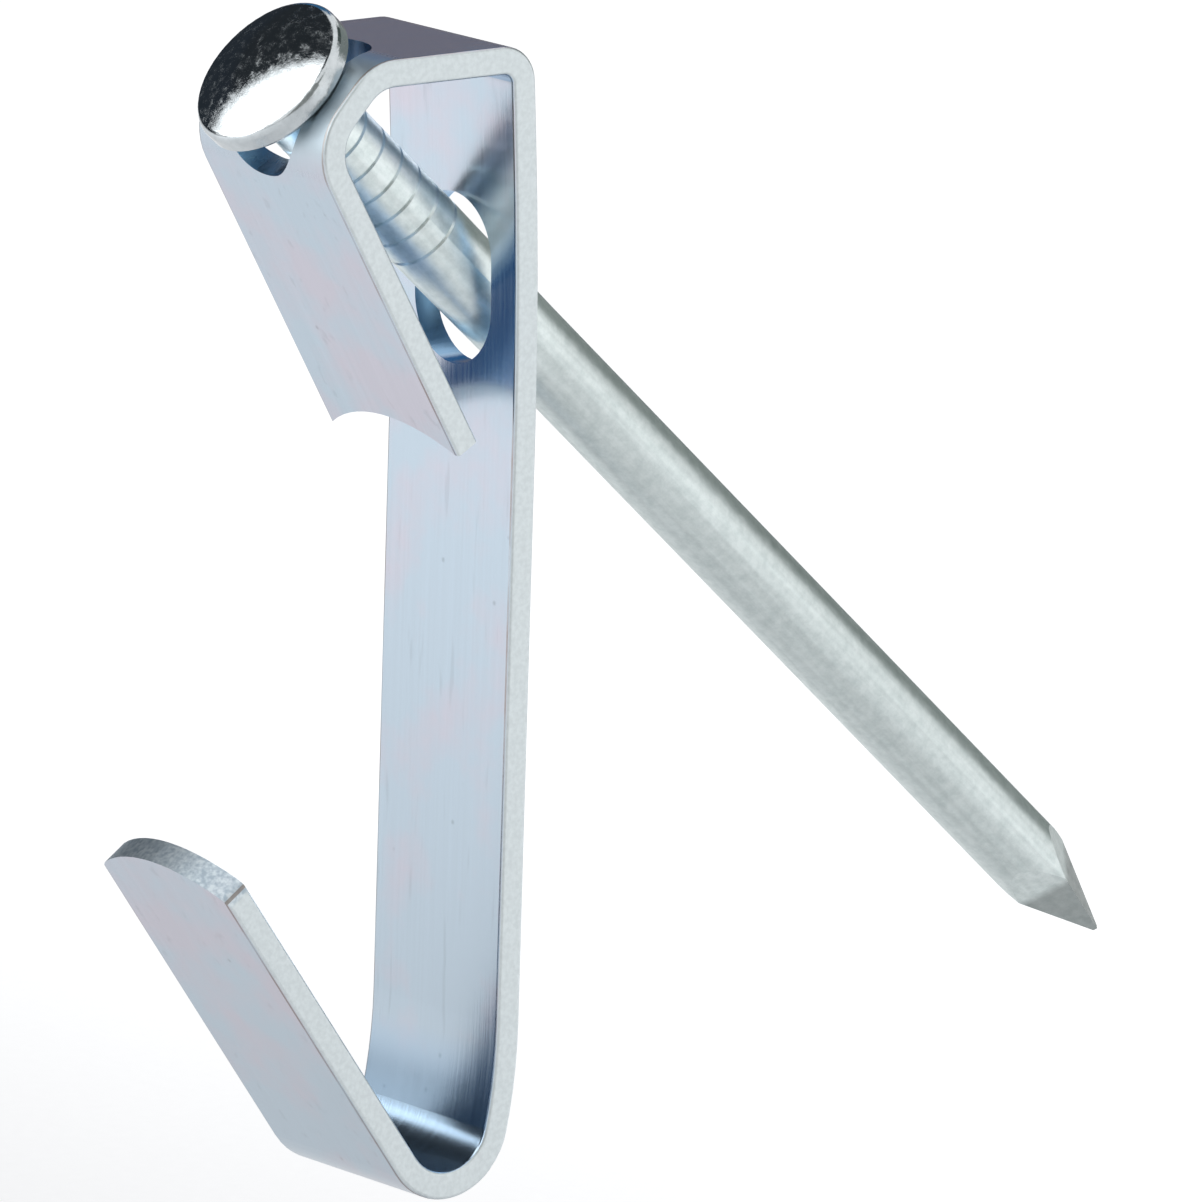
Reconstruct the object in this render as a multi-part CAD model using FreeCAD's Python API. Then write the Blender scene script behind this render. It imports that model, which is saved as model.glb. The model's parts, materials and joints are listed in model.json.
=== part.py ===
import FreeCAD, Part
import math
import os
from FreeCAD import Base, Vector

# All sizes in mm. X runs across the strip, -Y is the front, +Y goes into the wall, Z is up.
# The strip is punched and cropped flat, then folded, so slots and ends are stated on the flat strip.

# strip
strip_w = 6.35
strip_t = 0.85
edge_roll_r = 0.12

# flats and bends in order from the prong's tip to the flap's tip, with inside radii and turns in degrees
prong_flat = 12.31
hook_r = 1.45
hook_turn = 131.9
heel_r = 15.2
heel_turn = 12.0
wall_flat = 18.2
bow_reach = 4.75
bow_turn = 3.8
upper_flat = 1.3
top_r = 0.35
top_turn = 87.0
top_flat = 4.05
bevel_r = 1.15
bevel_turn = 47.2
bevel_flat = 0.95
flap_r = 1.15
flap_turn = 72.4
flap_flat = 9.95

# cropped ends: the same curved tool leaves one end convex and the next one concave
crop_r = 5.8
prong_corner_r = 0.6

# nail
nail_d = 2.5
nail_len = 44.0
head_d = 5.2
head_tall = 1.3
dome_r = 6.4
crown_flat_r = 0.15
rim_round = 0.28
under_chamfer = 0.2
neck_flare = 0.4
grip_swell = 0.05
ring_first = 0.7
ring_pitch = 0.93
ring_count = 8
ring_w = 0.12
ring_depth = 0.05
plain_from = 12.6
point_ridge = 3.1
point_blunt = 0.1

# clearances between the nail and the strip
slot_side_gap = 0.65
slot_straight = 1.5
seat_gap = 0.02
nail_below_mid = 0.15
bevel_slot_up = 0.1

# how far the punches reach past the strip's faces
punch_over = 0.1

# derived
slot_w = nail_d + 2 * slot_side_gap
bow_r = bow_reach / math.tan(math.radians(bow_turn / 2)) - strip_t
crop_sag = crop_r - math.sqrt(crop_r ** 2 - (strip_w / 2) ** 2)

ACROSS = Vector(1, 0, 0)
Vector2d = Base.Vector2d


def heading(h):
    return Vector(0, -math.sin(h), math.cos(h))


def inward(h):
    return Vector(0, -math.cos(h), -math.sin(h))


def line(a, b):
    return Part.LineSegment(a, b).toShape()


def arc(a, b, c):
    return Part.Arc(a, b, c).toShape()


def chain(points):
    return [line(a, b) for a, b in zip(points, points[1:])]


def lay_out():
    """The strip's middle line leg by leg, the wall flat's back on Y = 0 and its middle at Z = 0."""
    plan = [("prong", "flat", prong_flat, 0), ("hook", "bend", hook_turn, hook_r),
            ("heel", "bend", heel_turn, heel_r), ("wall", "flat", wall_flat, 0),
            ("bow", "bend", bow_turn, bow_r), ("upper", "flat", upper_flat, 0),
            ("top corner", "bend", top_turn, top_r), ("top", "flat", top_flat, 0),
            ("bevel corner", "bend", bevel_turn, bevel_r), ("bevel", "flat", bevel_flat, 0),
            ("flap corner", "bend", flap_turn, flap_r), ("flap", "flat", flap_flat, 0)]
    h = -math.radians(hook_turn + heel_turn)
    p = Vector(0, 0, 0)
    s = 0.0
    legs = {}
    for name, kind, size, r in plan:
        leg = {"kind": kind, "h": h, "s0": s, "at": p}
        if kind == "flat":
            p = p + heading(h) * size
            s = s + size
        else:
            leg["turn"] = math.radians(size)
            leg["mid_r"] = r + strip_t / 2
            leg["centre"] = p + inward(h) * leg["mid_r"]
            h = h + leg["turn"]
            p = leg["centre"] - inward(h) * leg["mid_r"]
            s = s + leg["mid_r"] * leg["turn"]
        leg["s1"] = s
        legs[name] = leg
    shift = Vector(0, -strip_t / 2, -wall_flat / 2) - legs["wall"]["at"]
    for leg in legs.values():
        leg["at"] = leg["at"] + shift
        if leg["kind"] == "bend":
            leg["centre"] = leg["centre"] + shift
    return legs


def at(leg, s, off=0.0):
    """A leg's point at length s of the flat strip, off the middle line to the inside of the bends."""
    if leg["kind"] == "flat":
        return leg["at"] + heading(leg["h"]) * (s - leg["s0"]) + inward(leg["h"]) * off
    h = leg["h"] + (s - leg["s0"]) / leg["mid_r"]
    return leg["centre"] - inward(h) * (leg["mid_r"] - off)


def leg_edge(leg, off):
    ends = [at(leg, leg["s0"], off), at(leg, leg["s1"], off)]
    if leg["kind"] == "flat":
        return line(*ends)
    return arc(ends[0], at(leg, (leg["s0"] + leg["s1"]) / 2, off), ends[1])


def folded_blank(legs):
    """The folded strip with square ends and no slots, its two slit edges rolled over on both faces."""
    back = [leg_edge(leg, -strip_t / 2) for leg in legs.values()]
    front = [leg_edge(leg, strip_t / 2) for leg in legs.values()]
    tips = [(legs["prong"], legs["prong"]["s0"]), (legs["flap"], legs["flap"]["s1"])]
    caps = [line(at(leg, s, -strip_t / 2), at(leg, s, strip_t / 2)) for leg, s in tips]
    face = Part.Face(Part.Wire(Part.__sortEdges__(back + front + caps)))
    face.translate(ACROSS * (-strip_w / 2))
    blank = face.extrude(ACROSS * strip_w)
    ends = [at(leg, s) for leg, s in tips]
    slit = []
    for edge in blank.Edges:
        mid = edge.CenterOfMass
        capped = min(Vector(0, mid.y, mid.z).distanceToPoint(p) for p in ends) < strip_t / 100
        if edge.BoundBox.XLength < strip_t / 100 and not capped:
            slit.append(edge)
    return blank.makeFillet(edge_roll_r, slit)


def stand_on(shape, leg, s):
    """Turn a shape drawn on the flat strip, X along it from s and Y across it, on to a flat leg."""
    d, n, p = heading(leg["h"]), inward(leg["h"]), at(leg, s)
    turn = FreeCAD.Matrix(d.x, 1, -n.x, p.x, d.y, 0, -n.y, p.y, d.z, 0, -n.z, p.z, 0, 0, 0, 1)
    return shape.transformed(turn)


def through(face):
    """A flat outline made into a cutter a little thicker than the strip."""
    half = strip_t / 2 + punch_over
    face.translate(Vector(0, 0, -half))
    return face.extrude(Vector(0, 0, 2 * half))


def slot_outline(s_mid):
    r, a = slot_w / 2, slot_straight / 2
    lo, hi = s_mid - a, s_mid + a
    c = [Vector(lo, -r, 0), Vector(hi, -r, 0), Vector(hi, r, 0), Vector(lo, r, 0)]
    far = arc(c[1], Vector(s_mid + a + r, 0, 0), c[2])
    near = arc(c[3], Vector(s_mid - a - r, 0, 0), c[0])
    return Part.Face(Part.Wire([line(c[0], c[1]), far, line(c[2], c[3]), near]))


def wrapped(edge, leg, radius):
    """One edge of a flat outline rolled on to a bend's cylinder of the given radius."""
    cylinder = Part.Cylinder()
    cylinder.Radius = radius
    cylinder.Center = leg["centre"]
    cylinder.Axis = ACROSS
    k = leg["mid_r"]

    def uv(p):
        return Vector2d(leg["h"] + (p.x - leg["s0"]) / k, p.y)

    first, last = edge.FirstParameter, edge.LastParameter
    a, m, b = [uv(edge.valueAt(t)) for t in (first, (first + last) / 2, last)]
    if isinstance(edge.Curve, (Part.Line, Part.LineSegment)):
        return Part.Geom2d.Line2dSegment(a, b).toShape(cylinder)
    c, r = uv(edge.Curve.Center), edge.Curve.Radius
    axes = [Vector2d(c.x, c.y + r), Vector2d(c.x + r / k, c.y)]
    if k < 1:
        axes.reverse()
    oval = Part.Geom2d.Ellipse2d(axes[0], axes[1], c)
    ta, tm, tb = [oval.parameter(q) for q in (a, m, b)]
    full = 2 * math.pi
    if (tm - ta) % full > (tb - ta) % full:
        ta, tb = tb, ta
    return Part.Geom2d.ArcOfEllipse2d(oval, ta, ta + (tb - ta) % full).toShape(cylinder)


def bend_sector(leg):
    """All of a bend, a little thicker than the strip and wider than it."""
    half = strip_t / 2 + punch_over
    lo, hi = leg["mid_r"] - half, leg["mid_r"] + half
    out = inward(leg["h"]) * -1
    corners = ((lo, -strip_w), (lo, strip_w), (hi, strip_w), (hi, -strip_w))
    c = [leg["centre"] + out * r + ACROSS * x for r, x in corners]
    face = Part.Face(Part.makePolygon(c + c[:1]))
    return face.revolve(leg["centre"], ACROSS, math.degrees(leg["turn"]))


def bend_punch(outline, leg):
    """The part of a slot that lies in a bend, its walls square to the strip all round the fold."""
    half = strip_t / 2 + 2 * punch_over
    lo, hi = leg["mid_r"] - half, leg["mid_r"] + half
    walls = []
    for edge in outline.OuterWire.Edges:
        box = edge.BoundBox
        off_limit = min(abs(box.XMin - leg["s0"]), abs(box.XMax - leg["s1"]))
        if box.XLength > 1e-6 or off_limit > 1e-6:
            walls.append(Part.makeRuledSurface(wrapped(edge, leg, lo), wrapped(edge, leg, hi)))
    pieces = bend_sector(leg).generalFuse(walls)[0].Solids
    inside = at(leg, outline.CenterOfMass.x)
    return [piece for piece in pieces if piece.isInside(inside, 1e-6, False)][0]


def slot_punches(legs, s_mid):
    """A slot stated on the flat strip, as one cutter for each flat or bend that it reaches."""
    outline = slot_outline(s_mid)
    cutters = []
    for leg in legs.values():
        if leg["s1"] < outline.BoundBox.XMin or leg["s0"] > outline.BoundBox.XMax:
            continue
        window = Part.makePlane(leg["s1"] - leg["s0"], 2 * strip_w, Vector(leg["s0"], -strip_w, 0))
        share = outline.common(window).Faces[0]
        if leg["kind"] == "bend":
            cutters.append(bend_punch(share, leg))
        else:
            share.translate(Vector(-leg["s0"], 0, 0))
            cutters.append(stand_on(through(share), leg, leg["s0"]))
    return cutters


def prong_crop(leg):
    """What the cropping tool takes off the prong: a convex end with rounded corners."""
    w, c = strip_w / 2, prong_corner_r
    a = crop_r - math.sqrt((crop_r - c) ** 2 - (w - c) ** 2)
    reach = math.atan2(w - c, crop_r - a)
    meet = Vector(crop_r * (1 - math.cos(reach)), crop_r * math.sin(reach), 0)
    lean = (math.pi / 2 + reach) / 2
    turn = Vector(a - c * math.cos(lean), w - c + c * math.sin(lean), 0)
    side = Vector(a, w, 0)

    def other(p):
        return Vector(p.x, -p.y, 0)

    wide = [Vector(a, 2 * w, 0), Vector(-w, 2 * w, 0)]
    edges = [arc(other(meet), Vector(0, 0, 0), meet), arc(meet, turn, side), line(side, wide[0]),
             line(wide[0], wide[1]), line(wide[1], other(wide[1])), line(other(wide[1]), other(wide[0])),
             line(other(wide[0]), other(side)), arc(other(side), other(turn), other(meet))]
    return stand_on(through(Part.Face(Part.Wire(edges))), leg, leg["s0"])


def flap_crop(leg):
    """What the same tool takes off the flap: a concave end of the same radius."""
    half = strip_w / 2 + punch_over
    past = crop_r - crop_sag - math.sqrt(crop_r ** 2 - half ** 2)
    ends = [Vector(past, -half, 0), Vector(past, half, 0)]
    bow = arc(ends[0], Vector(-crop_sag, 0, 0), ends[1])
    return stand_on(through(Part.Face(Part.Wire([bow, line(ends[1], ends[0])]))), leg, leg["s1"])


def nail_seat(legs):
    """The head's seat over the bevel, with the way the nail goes in and the bevel's downhill way."""
    leg = legs["bevel"]
    s = (leg["s0"] + leg["s1"]) / 2 + nail_below_mid
    return at(leg, s, -strip_t / 2 - seat_gap), inward(leg["h"]), heading(leg["h"])


def plate_crossing(legs):
    """The length along the flat strip at which the nail's axis meets the back plate's middle line."""
    seat, _, downhill = nail_seat(legs)
    span = [legs[name] for name in ("wall", "bow", "upper")]
    lo, hi = span[0]["s0"], span[-1]["s1"]
    for _ in range(60):
        s = (lo + hi) / 2
        leg = [x for x in span if x["s0"] <= s <= x["s1"]][0]
        if (at(leg, s) - seat).dot(downhill) > 0:
            lo = s
        else:
            hi = s
    return s


def hook_strip(legs):
    strip = folded_blank(legs)
    bevel_mid = (legs["bevel"]["s0"] + legs["bevel"]["s1"]) / 2
    cutters = slot_punches(legs, bevel_mid - bevel_slot_up)
    cutters = cutters + slot_punches(legs, plate_crossing(legs))
    cutters = cutters + [prong_crop(legs["prong"]), flap_crop(legs["flap"])]
    for cutter in cutters:
        strip = strip.cut(cutter)
    return strip.Solids[0]


def head_line():
    """Half outline of the domed head in the XZ plane, from crown to neck, with its seat at Z = 0."""
    def swung(centre, r, angle):
        return centre + Vector(r * math.sin(angle), 0, -r * math.cos(angle))

    r, grip_r = head_d / 2, nail_d / 2 + grip_swell
    crown, worn = Vector(0, 0, -head_tall), Vector(crown_flat_r, 0, -head_tall)
    ball = crown + Vector(0, 0, math.sqrt(dome_r ** 2 - crown_flat_r ** 2))
    inset, shrunk = r - rim_round, dome_r - rim_round
    lean = math.asin(inset / shrunk)
    brow = swung(ball, shrunk, lean)
    level = math.pi / 2
    shoulder, side = swung(brow, rim_round, lean), swung(brow, rim_round, level)
    dome = arc(worn, swung(ball, dome_r, lean / 2), shoulder)
    rim = arc(shoulder, swung(brow, rim_round, (lean + level) / 2), side)
    seat = [Vector(r, 0, -under_chamfer), Vector(r - under_chamfer, 0, 0), Vector(grip_r + neck_flare, 0, 0)]
    return [line(crown, worn), dome, rim] + chain([side] + seat + [Vector(grip_r, 0, neck_flare)])


def grip_line():
    """Half outline of the gripped stretch: fine ring marks pressed round it, then a long taper."""
    wide = nail_d / 2 + grip_swell
    points = [Vector(wide, 0, neck_flare)]
    for i in range(ring_count):
        ring = ring_first + i * ring_pitch
        points.append(Vector(wide, 0, ring - ring_w / 2))
        points.append(Vector(wide - ring_depth, 0, ring))
        points.append(Vector(wide, 0, ring + ring_w / 2))
    return chain(points + [Vector(nail_d / 2, 0, plain_from)])


def diamond_point():
    """What the pinched point takes off the shank's end: four facets with a ridge at each quarter."""
    def square(back):
        r = point_blunt + (nail_d / 2 - point_blunt) * back / point_ridge
        z = nail_len - back
        return [Vector(r, 0, z), Vector(0, r, z), Vector(-r, 0, z), Vector(0, -r, z)]

    far = 2 * point_ridge
    base, tip = square(far), square(0)
    sides = [[base[i - 1], base[i], tip[i], tip[i - 1]] for i in range(4)]
    faces = [Part.Face(Part.makePolygon(c + c[:1])) for c in [base, tip] + sides]
    sleeve = Part.makeCylinder(nail_d, far, Vector(0, 0, nail_len - far))
    return sleeve.cut(Part.Solid(Part.Shell(faces)))


def nail(legs):
    tip = Vector(nail_d / 2, 0, nail_len)
    edges = head_line() + grip_line()
    edges.append(line(Vector(nail_d / 2, 0, plain_from), tip))
    edges.append(line(tip, Vector(0, 0, nail_len)))
    edges.append(line(Vector(0, 0, nail_len), Vector(0, 0, -head_tall)))
    half = Part.Face(Part.Wire(Part.__sortEdges__(edges)))
    body = half.revolve(Vector(0, 0, 0), Vector(0, 0, 1), 360).cut(diamond_point())
    seat, z, _ = nail_seat(legs)
    y = z.cross(ACROSS)
    turn = FreeCAD.Matrix(1, y.x, z.x, seat.x, 0, y.y, z.y, seat.y, 0, y.z, z.z, seat.z, 0, 0, 0, 1)
    return body.transformed(turn).Solids[0]


os.makedirs("parts", exist_ok=True)
fold = lay_out()
hook_strip(fold).exportStep("parts/hook_strip.step")
nail(fold).exportStep("parts/nail.step")
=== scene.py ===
import json
import math

import bpy
from mathutils import Matrix, Vector


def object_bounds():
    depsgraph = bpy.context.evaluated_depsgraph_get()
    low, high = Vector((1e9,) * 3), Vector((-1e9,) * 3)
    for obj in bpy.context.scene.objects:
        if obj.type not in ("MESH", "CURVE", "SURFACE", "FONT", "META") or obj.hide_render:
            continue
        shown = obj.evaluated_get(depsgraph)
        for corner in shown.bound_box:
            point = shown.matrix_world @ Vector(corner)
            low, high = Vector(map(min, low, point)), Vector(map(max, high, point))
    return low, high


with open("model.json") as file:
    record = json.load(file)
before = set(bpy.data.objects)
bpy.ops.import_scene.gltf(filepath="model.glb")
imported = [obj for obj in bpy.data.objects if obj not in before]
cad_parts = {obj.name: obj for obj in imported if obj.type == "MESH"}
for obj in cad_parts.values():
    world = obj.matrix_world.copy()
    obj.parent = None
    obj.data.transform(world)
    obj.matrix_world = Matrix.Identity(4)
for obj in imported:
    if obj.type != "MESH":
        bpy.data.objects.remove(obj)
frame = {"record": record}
cad_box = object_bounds()

MM = 0.001

# The strip: half its width, and the radius of its rolled corners.
strip_half = 6.35 * MM / 2
edge_roll_r = 0.12 * MM
# How far the faces of a cropped end reach from its tip, and the walls of a slot from the strip's middle.
crop_reach = 1.7 * MM
slot_reach = 2.6 * MM
# The cropped ends in profile: each tip, and the way that its face looks.
cropped_ends = [(Vector((0, -11.71, -3.1)) * MM, Vector((0, -0.589, 0.808))),
                (Vector((0, -2.6, 8.86)) * MM, Vector((0, 0.506, -0.8625)))]
bevel_middle = Vector((0, -7.56, 19.84)) * MM
# Hollows coloured a darker blue as painted shade, the hook's bend and the fold over the nail: the middle in
# profile, the reach at which the blue is at its full dimming, the reach at which it ends, and that dimming.
hollows = [(Vector((0, -2.6, -11.96)) * MM, 1.4 * MM, 2.8 * MM, 0.5),
           (Vector((0, -0.4, 14)) * MM, 10 * MM, 12 * MM, 0.6)]
# The passivate's shifts to blue, below 0, or to pink: axis, two places on it in mm, and the shift at each.
passivate_shifts = [("Y", -0.5, -3, -0.1, 0.03), ("Z", -14, -8, -0.16, 0), ("Z", 19.5, 21, 0, 0.15)]
# Places along the nail, from the middle of its plain shank towards the point.
head_under = -26.75 * MM
grip_end = -16 * MM
burnish_end = -13 * MM
point_from = 14.1 * MM

# The view: from the right and a little above, through a long lens that keeps the strip's sides parallel.
photo_px = 1202
lens_px = 16000
sensor_mm = 36
eye = Vector((377.04, -288.68, 99.86)) * MM
view_azimuth = 52.075
view_elevation = 11.4685
view_roll = 1.7053

# The studio, in metres: paper below the hook, a soft box and the cards round it.
floor_drop = 30 * MM
floor_reach = 4
lamp_away = 0.4
card_away = 0.7


def linear(hex_code):
    """Turns an sRGB hex colour to the linear colour that a shader takes."""
    parts = [int(hex_code[i:i + 2], 16) / 255 for i in (0, 2, 4)]
    return [c / 12.92 if c <= 0.04045 else ((c + 0.055) / 1.055) ** 2.4 for c in parts] + [1]


def put(tree, kind, sockets=None, **settings):
    """Adds one node. settings are its own choices. sockets are its inputs, by name or by number, and each
    takes a value, an output, or a node whose first output in use is meant."""
    node = tree.nodes.new("ShaderNode" + kind)
    for name, value in settings.items():
        setattr(node, name, value)
    for name, value in (sockets or {}).items():
        named = [s for s in node.inputs if s.enabled and s.name == name]
        socket = named[0] if named else node.inputs[name]
        if isinstance(value, bpy.types.Node):
            value = next(s for s in value.outputs if s.enabled)
        if isinstance(value, bpy.types.NodeSocket):
            tree.links.new(value, socket)
        else:
            socket.default_value = value
    return node


def fresh_material(name):
    material = bpy.data.materials.new(name)
    material.use_nodes = True
    material.node_tree.nodes.clear()
    return material, material.node_tree


def rolled_face(tree, place, lines, drift):
    """Colour of the strip's rolled faces."""
    axes = put(tree, "SeparateXYZ", {0: place}).outputs
    # The passivate is bluer on the plate and at the foot, and pinker on the top.
    tint = drift
    for axis, start, stop, low, high in passivate_shifts:
        shift = put(tree, "MapRange", {"Value": axes[axis], "From Min": start * MM, "From Max": stop * MM,
                                       "To Min": low, "To Max": high})
        tint = put(tree, "Math", {0: tint, 1: shift}, operation="ADD")
    pink = put(tree, "MapRange", {"Value": tint, "From Min": 0.4, "From Max": 0.62})
    face = put(tree, "Mix", {"Factor": pink, "A": linear("C8D7E3"), "B": linear("D4D2DD")},
               data_type="RGBA")

    # Painted shade: the strip is darker towards the foot, which mirrors the dim paper right under the hook.
    painted_shade_to_foot = put(tree, "MapRange", {"Value": axes["Z"], "From Min": -11 * MM, "From Max": 12 * MM,
                                     "To Min": 0.86, "To Max": 1.02})
    shade = put(tree, "MapRange", {"Value": lines, "From Min": 0.3, "From Max": 0.7, "To Min": 0.94})
    # Pits and dust specks up to 0.2 mm wide, about one to every ten square millimetres.
    speck_space = 1.3 * MM
    specks = put(tree, "TexVoronoi", {"Vector": place, "Scale": 1 / speck_space})
    speck = put(tree, "MapRange", {"Value": specks, "From Min": 0.03, "From Max": 0.08, "To Min": 0.8})
    # Scuffs from the barrel, about 0.2 mm wide and 2 mm long, slanting across the rolling lines.
    scuff_w = 0.35 * MM
    scuff_len = 3 * MM
    slant = put(tree, "Mapping", {"Vector": place, "Rotation": (0.6, 0.7, 0),
                                  "Scale": (1 / scuff_w, 1 / scuff_w, 1 / scuff_len)})
    rubs = put(tree, "TexNoise", {"Vector": slant, "Scale": 1, "Detail": 2})
    scuff = put(tree, "MapRange", {"Value": rubs, "From Min": 0.64, "From Max": 0.72,
                                   "To Min": 1, "To Max": 0.92})
    dimming = painted_shade_to_foot
    for mark in (shade, speck, scuff):
        dimming = put(tree, "Math", {0: dimming, 1: mark}, operation="MULTIPLY")
    return put(tree, "Mix", {"Factor": 1, "A": face, "B": dimming}, data_type="RGBA", blend_type="MULTIPLY")


def cropped_faces(tree, profile, facing):
    """Two masks of the cropped ends: the torn faces, and all that lies near them."""
    torn = near = 0
    for tip, outward in cropped_ends:
        gap = put(tree, "VectorMath", {0: profile, 1: tip}, operation="DISTANCE")
        close = put(tree, "Math", {0: gap, 1: crop_reach}, operation="LESS_THAN")
        square = put(tree, "VectorMath", {0: facing, 1: outward}, operation="DOT_PRODUCT")
        level = put(tree, "MapRange", {"Value": square, "From Min": 0.15, "From Max": 0.35, "To Max": 0.9})
        end = put(tree, "Math", {0: close, 1: level}, operation="MULTIPLY")
        torn = put(tree, "Math", {0: torn, 1: end}, operation="MAXIMUM")
        near = put(tree, "Math", {0: near, 1: close}, operation="MAXIMUM")
    return torn, near


def recess_painted_shade(tree, across, profile, facing, near_ends):
    """Mask of painted shade: the slot walls and the faces that look into the hollows, which turn a darker
    blue.
    """
    # The punched walls of the slots are the only faces away from the ends that look sideways.
    middle = put(tree, "Math", {0: across, 1: slot_reach}, operation="LESS_THAN")
    plain = put(tree, "Math", {0: middle, 1: near_ends}, operation="SUBTRACT", use_clamp=True)
    facing_x = put(tree, "SeparateXYZ", {0: facing}).outputs["X"]
    sideways = put(tree, "Math", {0: facing_x}, operation="ABSOLUTE")
    punched = put(tree, "MapRange", {"Value": sideways, "From Min": 0.1, "From Max": 0.4})
    recess_shade = put(tree, "Math", {0: plain, 1: punched}, operation="MULTIPLY")
    # In a hollow, the faces that look into it.
    for centre, full, none, dimming in hollows:
        inward = put(tree, "VectorMath", {0: centre, 1: profile}, operation="SUBTRACT")
        away = put(tree, "VectorMath", {0: inward}, operation="LENGTH")
        blue = put(tree, "MapRange", {"Value": away, "From Min": full, "From Max": none,
                                      "To Min": dimming, "To Max": 0})
        looks_in = put(tree, "VectorMath", {0: inward, 1: facing}, operation="DOT_PRODUCT")
        inside = put(tree, "MapRange", {"Value": looks_in, "From Min": 0.5 * MM, "From Max": MM})
        hollow = put(tree, "Math", {0: blue, 1: inside}, operation="MULTIPLY")
        recess_shade = put(tree, "Math", {0: recess_shade, 1: hollow}, operation="MAXIMUM")
    return recess_shade


def strip_zinc():
    """Bright zinc on cold-rolled strip, blue passivated. The rolling leaves fine lines along the strip, the
    passivate drifts between ice blue and a faint lavender, and the slit edges are paler and grainy."""
    material, tree = fresh_material("blue_zinc_on_rolled_strip")
    place = put(tree, "TexCoord").outputs["Object"]
    facing = put(tree, "NewGeometry").outputs["Normal"]
    across = put(tree, "Math", {0: put(tree, "SeparateXYZ", {0: place}).outputs["X"]}, operation="ABSOLUTE")
    profile = put(tree, "VectorMath", {0: place, 1: (0, 1, 1)}, operation="MULTIPLY")

    # Rolling lines; the mill's own are ten times finer and would not show.
    line_w = 0.1 * MM
    line_len = 8 * MM
    along = put(tree, "Mapping", {"Vector": place, "Scale": (1 / line_w, 1 / line_len, 1 / line_len)})
    lines = put(tree, "TexNoise", {"Vector": along, "Scale": 1, "Detail": 3, "Roughness": 0.6})
    # The passivate drifts in soft clouds.
    cloud_size = 3.2 * MM
    drift = put(tree, "TexNoise", {"Vector": place, "Scale": 1 / cloud_size,
                                   "Detail": 4, "Roughness": 0.55})
    # Sheared metal is grainy.
    grain_size = 0.16 * MM
    grain = put(tree, "TexNoise", {"Vector": place, "Scale": 1 / grain_size, "Detail": 2})
    rough_edge = put(tree, "MapRange", {"Value": grain, "From Min": 0.35, "From Max": 0.65})

    colour = rolled_face(tree, place, lines, drift)
    # The bevel's two tight bends stretch the zinc, which turns pale and dull around the nail; its colour
    # there is also darker, as painted shade from the nail's head.
    reach = put(tree, "VectorMath", {0: profile, 1: bevel_middle}, operation="DISTANCE")
    stretched_and_shaded = put(tree, "MapRange", {"Value": reach, "From Min": 1.6 * MM, "From Max": 2.6 * MM,
                                       "To Min": 1, "To Max": 0})
    colour = put(tree, "Mix", {"Factor": stretched_and_shaded, "A": colour, "B": linear("BBC8D0")}, data_type="RGBA")
    torn, near_ends = cropped_faces(tree, profile, facing)
    # Painted shade: the slot walls and the insides of the hook's bend and of the fold over the nail turn a
    # darker blue.
    recess_shade = recess_painted_shade(tree, across, profile, facing, near_ends)
    colour = put(tree, "Mix", {"Factor": recess_shade, "A": colour, "B": linear("8DB4D6")}, data_type="RGBA")
    # The slit edges lie beyond the rolled corners, and are pale.
    slit = put(tree, "MapRange", {"Value": across, "From Min": strip_half - 0.5 * edge_roll_r,
                                  "From Max": strip_half - 0.2 * edge_roll_r})
    edge = put(tree, "Mix", {"Factor": rough_edge, "A": linear("D6DEE0"), "B": linear("DFE7E9")},
               data_type="RGBA")
    colour = put(tree, "Mix", {"Factor": slit, "A": colour, "B": edge}, data_type="RGBA")
    # The cropped ends were torn through, so they are bluer and coarser than the slit edges.
    end = put(tree, "Mix", {"Factor": rough_edge, "A": linear("B0C1CD"), "B": linear("DFEAF0")},
              data_type="RGBA")
    colour = put(tree, "Mix", {"Factor": torn, "A": colour, "B": end}, data_type="RGBA")
    # The sheared corner has the thinnest zinc, and shows as a broken brown line 0.06 mm wide.
    corner = put(tree, "Math", {0: across, 1: strip_half - 0.75 * edge_roll_r, 2: 0.25 * edge_roll_r},
                 operation="COMPARE")
    broken = put(tree, "MapRange", {"Value": drift, "From Min": 0.4, "From Max": 0.6,
                                    "To Min": 0.25, "To Max": 0.75})
    worn = put(tree, "Math", {0: corner, 1: broken}, operation="MULTIPLY")
    colour = put(tree, "Mix", {"Factor": worn, "A": colour, "B": linear("8F8279")}, data_type="RGBA")

    # The rolled faces are glossy, and the stretched and the cut ones dull.
    cut = put(tree, "Math", {0: slit, 1: torn}, operation="MAXIMUM")
    gloss = put(tree, "MapRange", {"Value": lines, "From Min": 0.3, "From Max": 0.7,
                                   "To Min": 0.18, "To Max": 0.25})
    gloss = put(tree, "Mix", {"Factor": stretched_and_shaded, "A": gloss, "B": 0.45})
    gloss = put(tree, "Mix", {"Factor": cut, "A": gloss, "B": 0.45})
    relief = put(tree, "Mix", {"Factor": cut, "A": lines, "B": grain})
    bump = put(tree, "Bump", {"Height": relief, "Strength": 0.25, "Distance": 0.01 * MM})
    metal = put(tree, "BsdfPrincipled", {"Base Color": colour, "Metallic": 1,
                                         "Roughness": gloss, "Normal": bump})
    put(tree, "OutputMaterial", {"Surface": metal})
    return material


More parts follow.
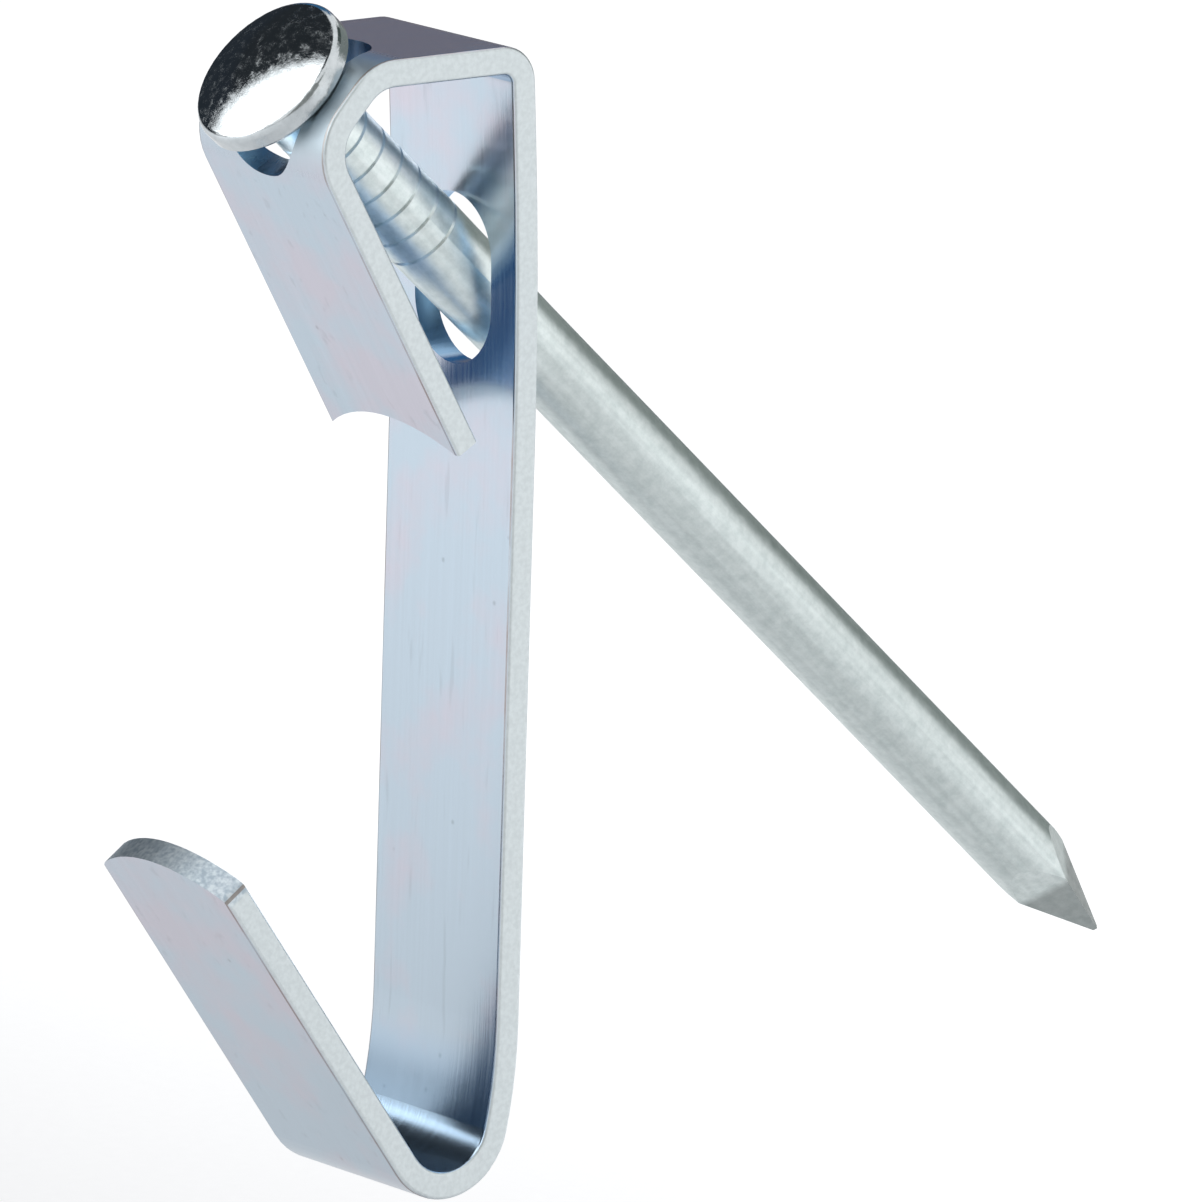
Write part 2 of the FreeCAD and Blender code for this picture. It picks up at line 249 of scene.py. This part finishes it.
def nail_zinc():
    """Barrel-plated zinc on drawn wire. Tumbling leaves the shank dull and mottled, and the upset head,
    which rubs against the others, bright and speckled."""
    material, tree = fresh_material("dull_zinc_on_drawn_wire")
    shank = next(m for m in frame["record"]["mounts"] if m["name"] == "nail_shank")
    upright = Vector(shank["axis"]).rotation_difference(Vector((0, 0, 1)))
    place = put(tree, "TexCoord").outputs["Object"]
    along = put(tree, "Mapping", {"Vector": place, "Rotation": upright.to_euler(),
                                  "Location": -(upright @ Vector(shank["pos_m"]))})
    down = put(tree, "SeparateXYZ", {0: along}).outputs["Z"]
    head = put(tree, "MapRange", {"Value": down, "From Min": head_under + 0.15 * MM,
                                  "From Max": head_under - 0.05 * MM})

    mottle_size = 0.4 * MM
    mottle = put(tree, "TexNoise", {"Vector": along, "Scale": 1 / mottle_size,
                                    "Detail": 6, "Roughness": 0.7})
    spots = put(tree, "MapRange", {"Value": mottle, "From Min": 0.32, "From Max": 0.62})
    body = put(tree, "Mix", {"Factor": spots, "A": linear("D0DBDA"), "B": linear("E5EEED")},
               data_type="RGBA")
    # Drawing lines along the wire.
    line_w = 0.2 * MM
    line_len = 12 * MM
    drawn = put(tree, "Mapping", {"Vector": along, "Scale": (1 / line_w, 1 / line_w, 1 / line_len)})
    lines = put(tree, "TexNoise", {"Vector": drawn, "Scale": 1, "Detail": 4})
    shade = put(tree, "MapRange", {"Value": lines, "From Min": 0.3, "From Max": 0.7, "To Min": 0.87})
    # The dies that grip the wire under the head burnish it. Painted shade: the point is darker, as it
    # mirrors the dim paper below.
    burnished = put(tree, "MapRange", {"Value": down, "From Min": grip_end, "From Max": burnish_end,
                                       "To Min": 1.22, "To Max": 1})
    point = put(tree, "MapRange", {"Value": down, "From Min": point_from, "From Max": point_from + 0.4 * MM,
                                   "To Min": 1, "To Max": 0.54})
    for mark in (burnished, point):
        shade = put(tree, "Math", {0: shade, 1: mark}, operation="MULTIPLY")
    wire = put(tree, "Mix", {"Factor": 1, "A": body, "B": shade}, data_type="RGBA", blend_type="MULTIPLY")
    bright = put(tree, "Mix", {"Factor": spots, "A": linear("C2C9CC"), "B": linear("D3D9DC")},
                 data_type="RGBA")
    colour = put(tree, "Mix", {"Factor": head, "A": wire, "B": bright}, data_type="RGBA")

    # Tumbling pits scatter light where the zinc between them mirrors.
    pit_size = 0.3 * MM
    frost = put(tree, "TexNoise", {"Vector": along, "Scale": 1 / pit_size, "Detail": 6, "Roughness": 0.7})
    pits = put(tree, "MapRange", {"Value": frost, "From Min": 0.46, "From Max": 0.7})
    dull = put(tree, "MapRange", {"Value": pits, "To Min": 0.33, "To Max": 0.45})
    polished = put(tree, "MapRange", {"Value": pits, "To Min": 0.08, "To Max": 0.36})
    gloss = put(tree, "Mix", {"Factor": head, "A": dull, "B": polished})
    bump = put(tree, "Bump", {"Height": frost, "Strength": 0.5, "Distance": 0.012 * MM})
    metal = put(tree, "BsdfPrincipled", {"Base Color": colour, "Metallic": 1,
                                         "Roughness": gloss, "Normal": bump})
    put(tree, "OutputMaterial", {"Surface": metal})
    return material


def seen(tree, hidden, shown):
    """A strength that is one number for the light it gives and another for the eye and for reflections."""
    path = put(tree, "LightPath").outputs
    mirrored = put(tree, "Math", {0: path["Is Camera Ray"], 1: path["Is Glossy Ray"]}, operation="ADD")
    either = put(tree, "Math", {0: mirrored, 1: path["Is Transmission Ray"]},
                 operation="ADD", use_clamp=True)
    return put(tree, "MapRange", {"Value": either, "To Min": hidden, "To Max": shown})


def white_room():
    world = bpy.data.worlds.new("white_room")
    bpy.context.scene.world = world
    world.use_nodes = True
    tree = world.node_tree
    tree.nodes.clear()
    sky = put(tree, "Background", {"Color": linear("FFFFFF"), "Strength": seen(tree, 0.5, 1)})
    put(tree, "OutputWorld", {"Surface": sky})


def show(thing):
    bpy.context.scene.collection.objects.link(thing)


def paper_floor():
    """White paper under the hook. Its own light reaches only the eye and the metal, so it keeps a shadow."""
    material, tree = fresh_material("white_paper")
    place = put(tree, "TexCoord").outputs["Object"]
    fibre_size = 0.6 * MM
    fibre = put(tree, "TexNoise", {"Vector": place, "Scale": 1 / fibre_size, "Detail": 2})
    paper = put(tree, "Mix", {"Factor": fibre, "A": linear("EBECEE"), "B": linear("F0F1F3")},
                data_type="RGBA")
    matt = put(tree, "BsdfDiffuse", {"Color": paper})
    # The paper behind the hook is farther from the soft box, and has a light of its own to keep it white.
    behind = put(tree, "SeparateXYZ", {0: place}).outputs["Y"]
    sweep = put(tree, "MapRange", {"Value": behind, "From Min": 30 * MM, "From Max": 115 * MM,
                                   "To Min": 0.13, "To Max": 0.55})
    # Painted shadow: right under the hook the paper's own light is cut away, as if the hook shaded it.
    away = put(tree, "VectorMath", {0: place}, operation="LENGTH")
    shade = put(tree, "MapRange", {"Value": away, "From Min": 18 * MM, "From Max": 42 * MM})
    strength = sweep
    for part in (shade, seen(tree, 0, 1)):
        strength = put(tree, "Math", {0: strength, 1: part}, operation="MULTIPLY")
    glow = put(tree, "Emission", {"Strength": strength})
    put(tree, "OutputMaterial", {"Surface": put(tree, "AddShader", {0: matt, 1: glow})})

    sheet = bpy.data.meshes.new("paper_floor")
    corners = [(x * floor_reach, y * floor_reach, 0) for x, y in ((-1, -1), (1, -1), (1, 1), (-1, 1))]
    sheet.from_pydata(corners, [], [(0, 1, 2, 3)])
    sheet.materials.append(material)
    floor = bpy.data.objects.new("paper_floor", sheet)
    floor.location.z = cad_box[0].z - floor_drop
    show(floor)


def toward(azimuth, elevation):
    """Direction from the hook: azimuth 0 is its front, 90 its right side."""
    turn, rise = math.radians(azimuth), math.radians(elevation)
    return Vector((math.sin(turn) * math.cos(rise), -math.cos(turn) * math.cos(rise), math.sin(rise)))


def soft_box():
    """The one lamp: a large soft box to the front left, which makes the white patch on the nail's head."""
    lamp = bpy.data.lights.new("soft_box", "AREA")
    lamp.shape = "RECTANGLE"
    lamp.size = 0.44
    lamp.size_y = 0.52
    lamp.energy = 1.35
    box = bpy.data.objects.new("soft_box", lamp)
    out = toward(-20, 30)
    box.location = out * lamp_away
    tilt = Matrix.Rotation(math.radians(-38), 3, "Z")
    box.rotation_euler = (out.to_track_quat("Z", "Y").to_matrix() @ tilt).to_euler()
    show(box)


def card(name, low, high, foot, top, tone):
    """A curved studio card round the hook that the metal mirrors and the camera does not see. It stands
    between two elevations; foot and top are the azimuths of its left and right corners there."""
    steps = 12
    corners = []
    for row in range(steps + 1):
        rise = row / steps
        left, right = (f + (t - f) * rise for f, t in zip(foot, top))
        for i in range(steps + 1):
            corners.append(toward(left + (right - left) * i / steps, low + (high - low) * rise) * card_away)
    across = steps + 1
    faces = [(k, k + 1, k + 1 + across, k + across)
             for row in range(steps) for k in range(row * across, row * across + steps)]
    sheet = bpy.data.meshes.new(name)
    sheet.from_pydata(corners, [], faces)
    material, tree = fresh_material(name)
    put(tree, "OutputMaterial", {"Surface": put(tree, "Emission", {"Color": linear(tone)})})
    sheet.materials.append(material)
    flag = bpy.data.objects.new(name, sheet)
    flag.visible_camera = False
    flag.visible_diffuse = False
    flag.visible_shadow = False
    show(flag)


def aim_camera():
    back = toward(view_azimuth, view_elevation)
    turn = math.radians(view_azimuth)
    right = Vector((math.cos(turn), math.sin(turn), 0))
    level = Matrix((right, back.cross(right), back)).transposed()
    tilted = level @ Matrix.Rotation(math.radians(view_roll), 3, "Z")
    lens = bpy.data.cameras.new("camera")
    lens.sensor_width = sensor_mm
    lens.lens = lens_px / photo_px * sensor_mm
    lens.clip_start = 0.01
    lens.clip_end = 20
    camera = bpy.data.objects.new("camera", lens)
    camera.matrix_world = Matrix.Translation(eye) @ tilted.to_4x4()
    show(camera)
    bpy.context.scene.camera = camera


def finish_metal(node, material):
    bpy.data.objects[node].material_slots[0].material = material


finish_metal("hook_strip", strip_zinc())
finish_metal("nail", nail_zinc())

bpy.context.scene.view_settings.view_transform = "Standard"
aim_camera()
white_room()
paper_floor()
soft_box()
# The cards, by elevations and azimuths in degrees. Black flags on the left darken the head, the blue one the
# slots and the fold, and the grey and mauve ones behind the hook its top and the nail's upper side.
card("blue_black_flag", -2, 26, (-119, -58), (-112.5, -48), "2B3138")
card("black_flag", 26, 63, (-112.5, -48), (-104, -35), "2B2F33")
card("black_top_flag", 63, 85, (-104, 20), (-104, 20), "2B2F33")
card("blue_card", 20, 46, (-142, -114), (-135, -108), "2D6691")
card("grey_card", -4, 20, (-195, -142), (-195, -142), "868D8A")
card("mauve_card", -4, 20, (-142, -119), (-142, -114), "79767D")
card("dark_back_card", 20, 50, (-202, -158), (-202, -158), "4A5350")
card("camera_side_card", -10, 50, (35, 85), (35, 85), "959795")
